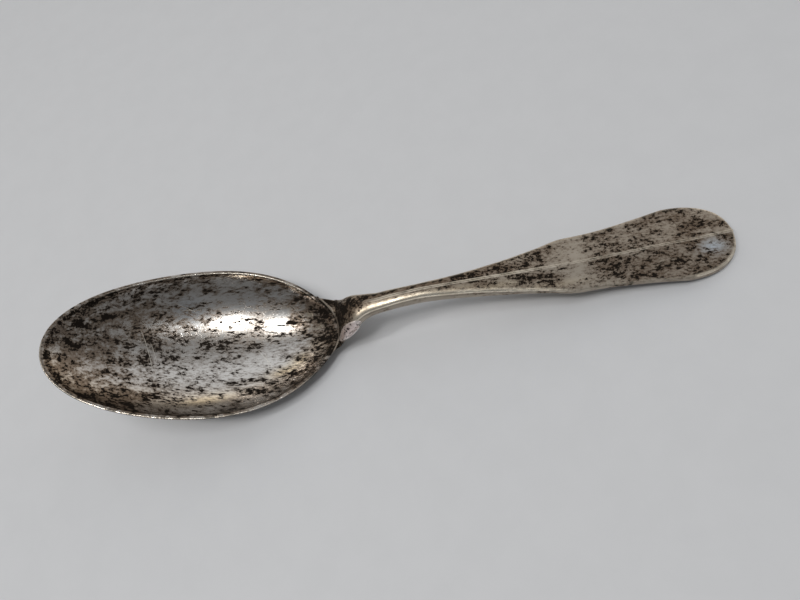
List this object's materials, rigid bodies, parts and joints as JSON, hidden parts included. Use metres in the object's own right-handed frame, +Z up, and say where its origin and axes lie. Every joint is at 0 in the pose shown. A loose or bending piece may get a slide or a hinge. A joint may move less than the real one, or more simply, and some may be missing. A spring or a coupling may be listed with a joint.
{
  "type": "tablespoon",
  "caption": "Worn silver tablespoon with an egg-shaped bowl, an arched neck and a ridged fiddle-pattern handle, lying on its bowl's back and handle end.",
  "frame": {"origin": "middle of the bounding box's base, on the table the spoon rests on", "axes": "+X along the handle, from the bowl's tip to the handle's end; +Z up, out of the bowl's hollow; +Y to the left when looking along +X"},
  "size_m": [0.2049, 0.0482, 0.0337],
  "materials": {
    "bowl_silver": "worn silver with black tarnish specks drawn out along the bowl",
    "handle_silver": "satin worn silver with brown-grey tarnish and bright worn edges",
    "seam_solder": "dark, oxidised solder",
    "repair_solder": "smooth filed solder, pale and slightly pink"
  },
  "bodies": {
    "root": {"bowl": "bowl_silver", "handle": "handle_silver", "solder_seam": "seam_solder", "solder_repair": "repair_solder"}
  },
  "joints": []
}
